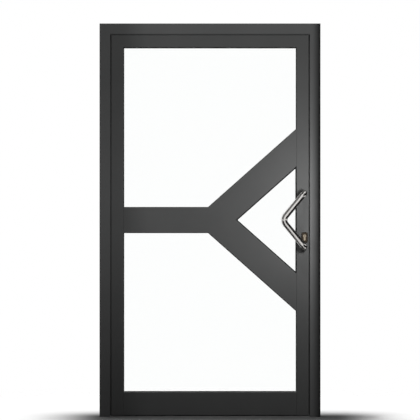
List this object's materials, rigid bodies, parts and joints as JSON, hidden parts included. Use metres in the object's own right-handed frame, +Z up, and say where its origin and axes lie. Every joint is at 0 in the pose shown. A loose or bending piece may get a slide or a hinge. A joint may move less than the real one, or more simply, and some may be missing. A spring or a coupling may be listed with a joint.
{
  "type": "front door",
  "caption": "Dark glazed front door in its frame, with a K-shaped grid of bars, a bent V pull handle outside, a knob and thumb turn inside, knuckle hinges and a mortise lock.",
  "frame": {"origin": "on the floor, at the middle of the frame's width and depth", "axes": "+X towards the lock side seen from outside, +Y from outside to inside, +Z up"},
  "size_m": [1.18, 0.2057, 2.1],
  "materials": {
    "coated_aluminium": "dark grey matt powder coat",
    "plain_aluminium": "mill finish",
    "spacer_aluminium": "dark anodised",
    "polyamide": "black glass-filled",
    "rubber": "matt black",
    "brush": "dense pile",
    "block_plastic": "black",
    "bush_plastic": "natural",
    "glass": "clear float",
    "hinge_coat": "dark grey matt powder coat",
    "stainless": "satin",
    "plate_steel": "dark satin",
    "lock_steel": "plain",
    "nickel_brass": "satin nickel plate"
  },
  "bodies": {
    "knob": {"inside_knob": "stainless", "knob_spindle": "lock_steel", "lock_follower": "lock_steel"},
    "latch": {"latch_bolt": "lock_steel"},
    "bolt": {"deadbolt": "lock_steel"},
    "cylinder": {"cylinder_plug": "nickel_brass", "cylinder_cam": "nickel_brass", "thumb_turn": "stainless"},
    "frame": {"left_jamb": "coated_aluminium", "right_jamb": "coated_aluminium", "head": "coated_aluminium", "frame_thermal_bars": "polyamide", "frame_corner_cleats": "plain_aluminium", "threshold": "plain_aluminium", "frame_gasket": "rubber", "strike_plate": "lock_steel", "top_hinge_frame_wing": "hinge_coat", "middle_hinge_frame_wing": "hinge_coat", "bottom_hinge_frame_wing": "hinge_coat", "hinge_pins": "lock_steel"},
    "leaf": {"hinge_stile": "coated_aluminium", "lock_stile": "coated_aluminium", "top_rail": "coated_aluminium", "bottom_rail": "coated_aluminium", "transom": "coated_aluminium", "upper_brace": "coated_aluminium", "lower_brace": "coated_aluminium", "upper_beads": "coated_aluminium", "lower_beads": "coated_aluminium", "side_beads": "coated_aluminium", "leaf_thermal_bars": "polyamide", "leaf_corner_cleats": "plain_aluminium", "bar_connectors": "plain_aluminium", "upper_spacer": "spacer_aluminium", "lower_spacer": "spacer_aluminium", "side_spacer": "spacer_aluminium", "leaf_gasket": "rubber", "outer_glass_seals": "rubber", "inner_glass_seals": "rubber", "brush_seal": "brush", "setting_blocks": "block_plastic", "upper_outer_pane": "glass", "upper_inner_pane": "glass", "lower_outer_pane": "glass", "lower_inner_pane": "glass", "side_outer_pane": "glass", "side_inner_pane": "glass", "top_hinge_leaf_wing": "hinge_coat", "middle_hinge_leaf_wing": "hinge_coat", "bottom_hinge_leaf_wing": "hinge_coat", "hinge_bushes": "bush_plastic", "lock_case": "lock_steel", "lock_faceplate": "lock_steel", "cylinder_screw": "lock_steel", "pull_handle_fixings": "lock_steel", "pull_handle": "stainless", "knob_rose": "stainless", "inner_cylinder_plate": "stainless", "outer_cylinder_plate": "plate_steel", "cylinder_body": "nickel_brass"}
  },
  "joints": [
    {"name": "leaf_swing", "type": "hinge", "parent": "frame", "child": "leaf", "pos_m": [-0.557, 0.05105, 1.05], "axis": [0, 0, 1], "range_deg": [0, 100]},
    {"name": "knob_turn", "type": "hinge", "parent": "leaf", "child": "knob", "pos_m": [0.505, 0, 1.05], "axis": [0, -1, 0], "range_deg": [0, 45], "stiffness_Nm_per_rad": 0.8, "springref_deg": -22.92},
    {"name": "latch_slide", "type": "slide", "parent": "leaf", "child": "latch", "axis": [-1, 0, 0], "range_m": [0, 0.011]},
    {"name": "cylinder_turn", "type": "hinge", "parent": "leaf", "child": "cylinder", "pos_m": [0.505, 0, 0.965], "axis": [0, 1, 0], "range_deg": [0, 360]},
    {"name": "bolt_slide", "type": "slide", "parent": "leaf", "child": "bolt", "axis": [1, 0, 0], "range_m": [0, 0.02]}
  ],
  "couplings": [
    {"joint": "latch_slide", "follows": "knob_turn", "m_per_rad": 0.014005},
    {"joint": "bolt_slide", "follows": "cylinder_turn", "m_per_rad": 0.003183}
  ]
}
